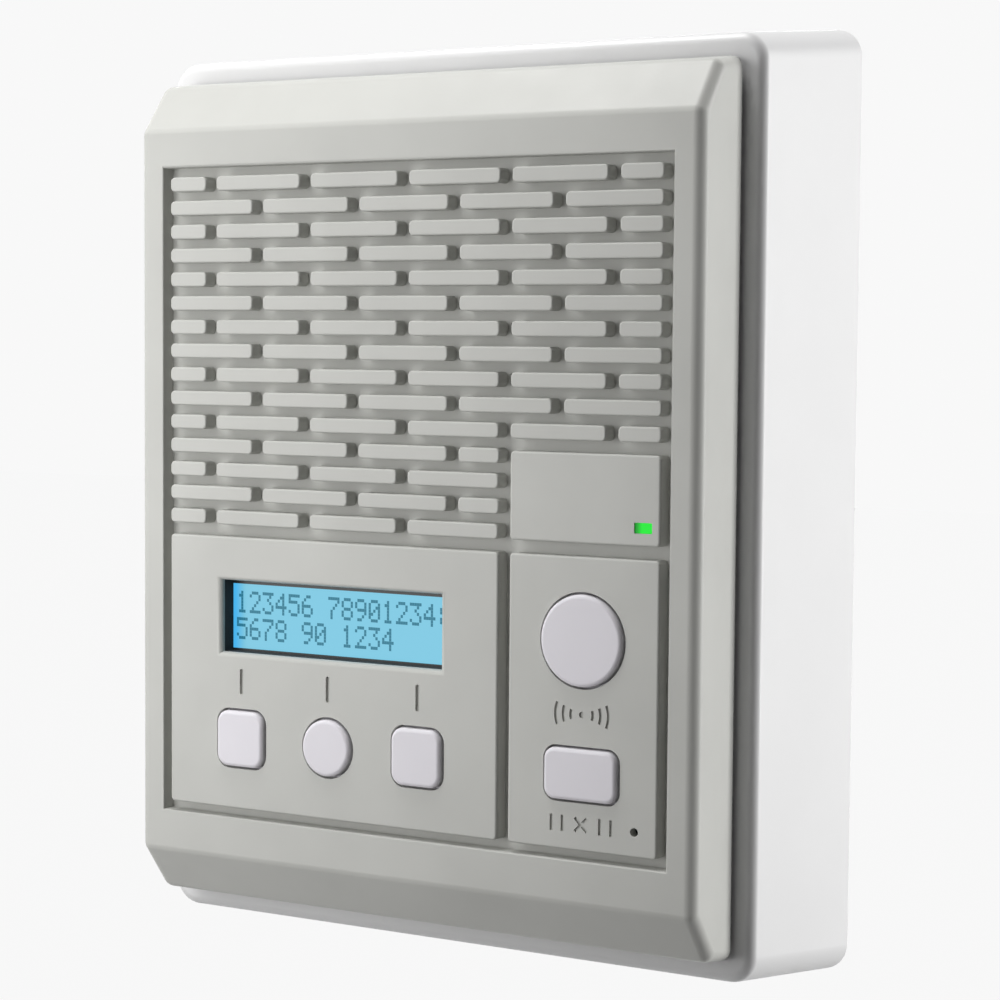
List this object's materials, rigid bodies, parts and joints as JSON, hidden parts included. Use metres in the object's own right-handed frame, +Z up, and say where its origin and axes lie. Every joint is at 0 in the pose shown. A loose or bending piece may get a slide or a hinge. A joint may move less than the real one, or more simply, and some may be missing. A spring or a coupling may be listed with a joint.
{
  "type": "wireless intercom station",
  "caption": "Wall-mounted intercom station: a grey grille panel with a display window, keys and call buttons on a drafted white wall box.",
  "frame": {"origin": "centre of the rear face that lies on the wall", "axes": "+X to the right of someone who faces the station, +Y into the wall, +Z up"},
  "size_m": [0.1584, 0.0575, 0.2028],
  "materials": {
    "grey_plastic": "fine matt texture",
    "white_plastic": "satin",
    "key_plastic": "satin",
    "display_glass": "smooth",
    "black_steel": "satin black",
    "green_clear_plastic": "smooth",
    "black_rubber": "matt",
    "foam": "matt",
    "black_cloth": "woven",
    "paper": "felted paper",
    "steel": "zinc plated",
    "ferrite": "ground",
    "copper": "enamelled wire",
    "green_board": "solder mask",
    "blue_board": "solder mask",
    "black_plastic": "moulded",
    "white_diffuser": "smooth",
    "aluminium": "drawn can",
    "green_plastic": "moulded",
    "ribbon_grey": "flat cable",
    "lead_red": "insulation"
  },
  "bodies": {
    "station": {"back_box": "white_plastic", "front_panel": "grey_plastic", "panel_gasket": "black_rubber", "panel_screws": "steel", "cable_grommet": "black_rubber", "speaker_cloth": "black_cloth", "speaker_gasket": "foam", "speaker_basket": "steel", "speaker_surround": "black_rubber", "speaker_cone": "paper", "speaker_dust_cap": "paper", "speaker_spider": "paper", "speaker_voice_coil": "copper", "speaker_top_plate": "steel", "speaker_magnet": "ferrite", "speaker_back_plate": "steel", "speaker_terminals": "black_plastic", "speaker_clamps": "steel", "speaker_screws": "steel", "speaker_leads": "lead_red", "display_glass": "display_glass", "display_bezel": "black_steel", "display_seal": "foam", "display_backlight": "white_diffuser", "display_contact_strips": "black_rubber", "display_board": "green_board", "display_screws": "steel", "display_lead": "ribbon_grey", "control_board": "green_board", "control_screws": "steel", "key_switches": "black_plastic", "status_led": "green_clear_plastic", "light_pipe": "green_clear_plastic", "microphone": "aluminium", "microphone_boot": "black_rubber", "main_board": "green_board", "main_board_screws": "steel", "board_chips": "black_plastic", "board_capacitors": "aluminium", "terminal_block": "green_plastic", "terminal_screws": "steel", "radio_board": "blue_board", "radio_shield": "steel", "antenna": "black_plastic", "ribbon_sockets": "black_plastic", "ribbon_cable": "ribbon_grey"},
    "left_key": {"left_key": "key_plastic", "left_key_plunger": "black_plastic"},
    "round_key": {"round_key": "key_plastic", "round_key_plunger": "black_plastic"},
    "right_key": {"right_key": "key_plastic", "right_key_plunger": "black_plastic"},
    "call_button": {"call_button": "key_plastic", "call_button_plunger": "black_plastic"},
    "cancel_button": {"cancel_button": "key_plastic", "cancel_button_plunger": "black_plastic"}
  },
  "joints": [
    {"name": "left_key_press", "type": "slide", "parent": "station", "child": "left_key", "axis": [0, 1, 0], "range_m": [0, 0.0008], "stiffness_N_per_m": 1000, "springref_m": -0.001},
    {"name": "round_key_press", "type": "slide", "parent": "station", "child": "round_key", "axis": [0, 1, 0], "range_m": [0, 0.0008], "stiffness_N_per_m": 1000, "springref_m": -0.001},
    {"name": "right_key_press", "type": "slide", "parent": "station", "child": "right_key", "axis": [0, 1, 0], "range_m": [0, 0.0008], "stiffness_N_per_m": 1000, "springref_m": -0.001},
    {"name": "call_button_press", "type": "slide", "parent": "station", "child": "call_button", "axis": [0, 1, 0], "range_m": [0, 0.0008], "stiffness_N_per_m": 1000, "springref_m": -0.001},
    {"name": "cancel_button_press", "type": "slide", "parent": "station", "child": "cancel_button", "axis": [0, 1, 0], "range_m": [0, 0.0008], "stiffness_N_per_m": 1000, "springref_m": -0.001}
  ]
}
